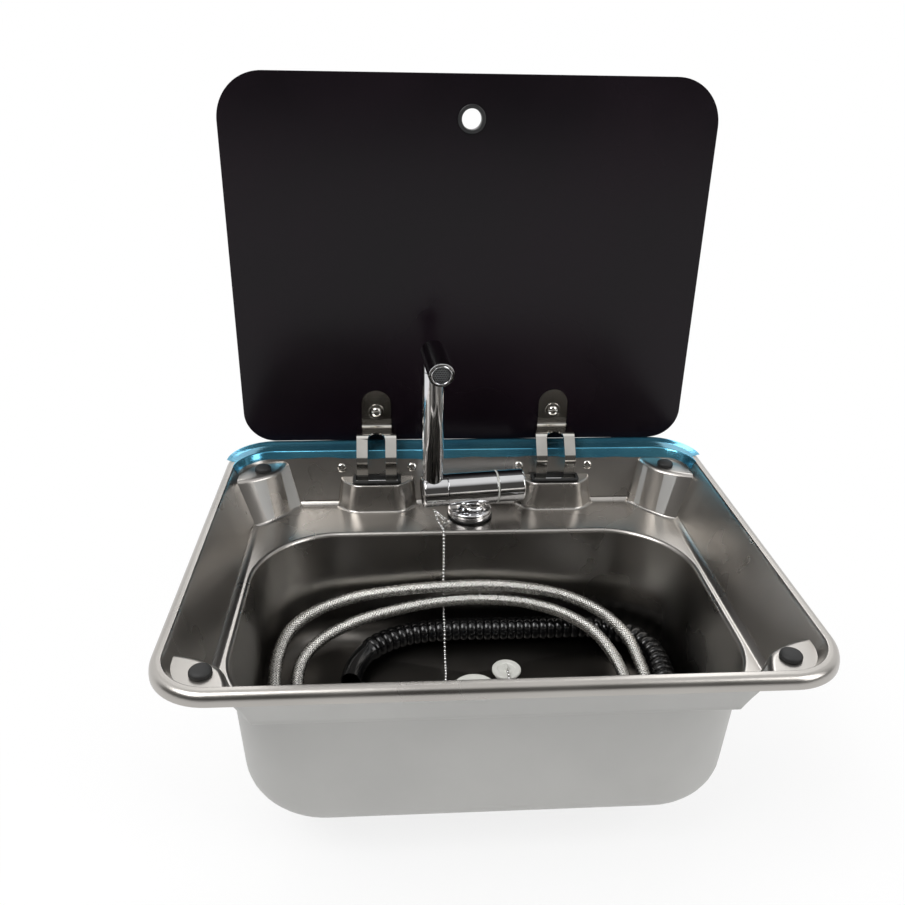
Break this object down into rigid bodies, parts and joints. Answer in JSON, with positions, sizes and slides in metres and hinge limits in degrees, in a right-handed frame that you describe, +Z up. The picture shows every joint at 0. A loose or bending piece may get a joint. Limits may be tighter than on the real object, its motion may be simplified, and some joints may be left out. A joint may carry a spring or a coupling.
{
  "type": "drop-in sink with hinged glass lid",
  "caption": "Drop-in caravan sink: pressed steel basin with sunk rim, hinged black glass lid, folding mixer tap, waste, plug chain and loose hoses.",
  "frame": {"origin": "centre of the rim, on the plane of its top face, where a closed lid is flush with it", "axes": "+Z up, -Y towards the user, +X to the user's right"},
  "size_m": [0.48, 0.3977, 0.5763],
  "materials": {
    "stainless": "satin pressed stainless steel",
    "polished_steel": "polished stainless steel",
    "chain_steel": "bright steel",
    "chrome": "polished chrome plate",
    "zinc": "plain zinc-plated steel",
    "black_glass": "toughened glass, black, glossy",
    "rubber": "matt black rubber",
    "black_plastic": "moulded black plastic",
    "white_plastic": "moulded off-white plastic",
    "brass": "machined brass",
    "braid": "woven stainless wire sleeve",
    "black_hose": "corrugated black plastic"
  },
  "bodies": {
    "sink": {"basin": "stainless", "bumper_front_left": "rubber", "bumper_front_right": "rubber", "bumper_rear_left": "rubber", "bumper_rear_right": "rubber", "rivet_left_outer": "polished_steel", "rivet_left_inner": "polished_steel", "rivet_right_outer": "polished_steel", "rivet_right_inner": "polished_steel", "slot_grommet_left": "rubber", "hinge_bracket_left": "zinc", "hinge_pin_left": "zinc", "slot_grommet_right": "rubber", "hinge_bracket_right": "zinc", "hinge_pin_right": "zinc", "tap_seal": "rubber", "tap_escutcheon": "chrome", "tap_body": "chrome", "tap_shank": "brass", "deck_washer": "rubber", "shank_nut": "brass", "mixing_cartridge": "white_plastic", "tap_band": "white_plastic", "waste_seal": "rubber", "waste_body": "white_plastic", "waste_washer": "rubber", "waste_nut": "white_plastic", "supply_hose_1": "braid", "supply_hose_1_inlet_nut": "chrome", "supply_hose_1_outlet_nut": "chrome", "supply_hose_2": "braid", "supply_hose_2_inlet_nut": "chrome", "supply_hose_2_outlet_nut": "chrome", "drain_hose": "black_hose", "plug_chain": "chain_steel", "chain_ring": "chain_steel", "chain_stay": "chain_steel", "plug": "white_plastic"},
    "lid": {"lid_glass": "black_glass", "finger_ring_front": "black_plastic", "finger_ring_back": "black_plastic", "hinge_strap_left": "polished_steel", "strap_screw_left": "polished_steel", "screw_washer_left": "polished_steel", "cap_nut_left": "polished_steel", "hinge_strap_right": "polished_steel", "strap_screw_right": "polished_steel", "screw_washer_right": "polished_steel", "cap_nut_right": "polished_steel"},
    "spout": {"tap_collar": "chrome", "spout_column": "chrome"},
    "outlet": {"outlet_head": "chrome", "aerator": "chrome"},
    "knob": {"tap_knob": "chrome"}
  },
  "joints": [
    {"name": "lid_hinge", "type": "hinge", "parent": "sink", "child": "lid", "pos_m": [0, 0.185, -0.012], "axis": [1, 0, 0], "range_deg": [0, 90]},
    {"name": "tap_fold", "type": "hinge", "parent": "sink", "child": "spout", "pos_m": [0.002, 0.131, -0.0235], "axis": [0.9925, 0.1219, 0], "range_deg": [0, 90]},
    {"name": "outlet_swivel", "type": "hinge", "parent": "spout", "child": "outlet", "pos_m": [-0.03572, 0.12637, 0.119], "axis": [0, 0, 1], "range_deg": [-30, 30]},
    {"name": "knob_turn", "type": "hinge", "parent": "sink", "child": "knob", "pos_m": [0.0417, 0.13587, -0.0235], "axis": [0.9925, 0.1219, 0], "range_deg": [-45, 45]}
  ],
  "couplings": [
    {"joint": "tap_fold", "follows": "lid_hinge", "ratio": 1}
  ]
}
